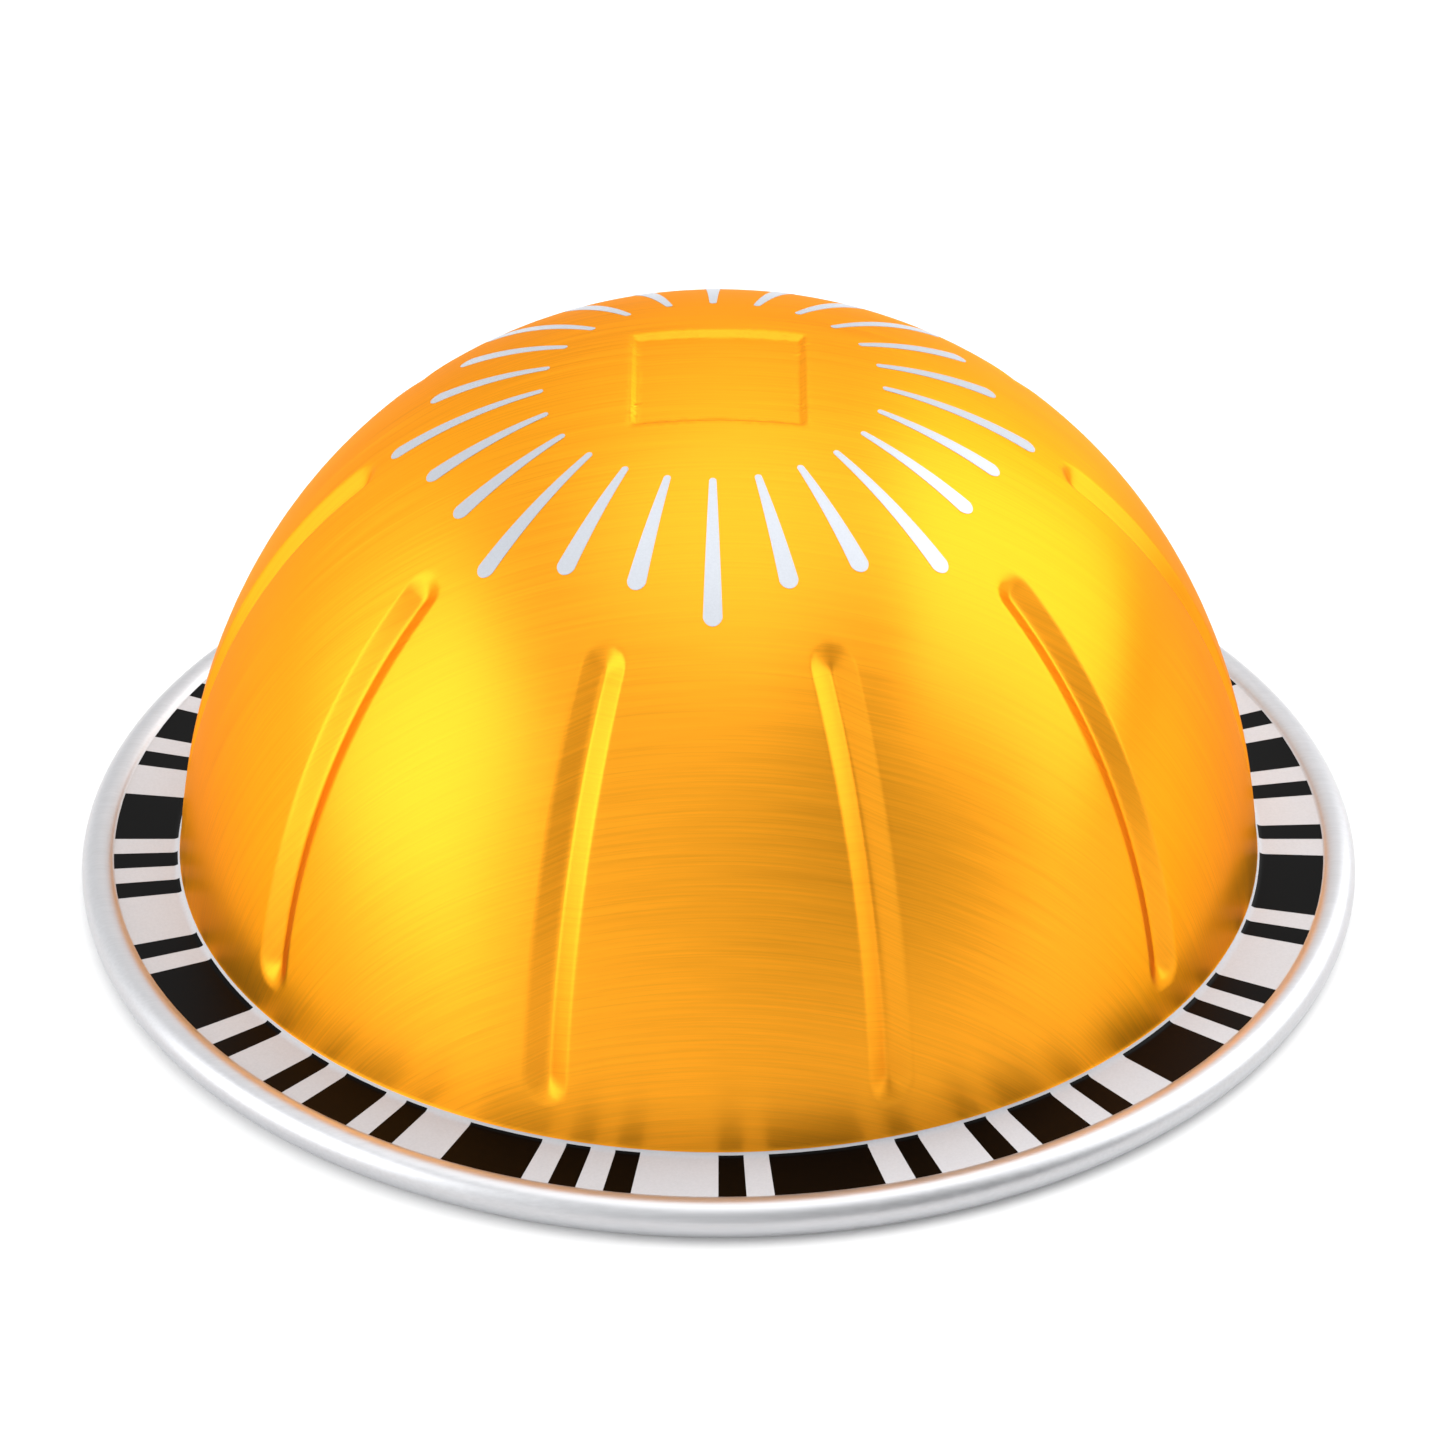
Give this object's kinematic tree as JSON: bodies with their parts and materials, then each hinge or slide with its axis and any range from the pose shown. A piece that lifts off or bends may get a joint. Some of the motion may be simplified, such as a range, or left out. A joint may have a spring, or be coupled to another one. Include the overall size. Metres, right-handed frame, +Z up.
{
  "type": "coffee pod",
  "caption": "Dome-shaped aluminium coffee pod with grooves pressed down its wall, a flat flange with a rolled rim, and a foil lid sealed underneath.",
  "frame": {"origin": "on the axis of the dome, at the height of the surface that the rolled rim stands on", "axes": "+Z up the axis of the dome, towards its crown; +X and +Y square to the sides of the pressed panel, with -Y towards the front of the picture"},
  "size_m": [0.062, 0.062, 0.0279],
  "materials": {
    "gold_aluminium": "satin gold lacquer on drawn aluminium sheet, white lacquer on the flange and the rolled rim",
    "lid_aluminium": "bare satin foil"
  },
  "bodies": {
    "root": {"cup": "gold_aluminium", "lid_foil": "lid_aluminium"}
  },
  "joints": []
}
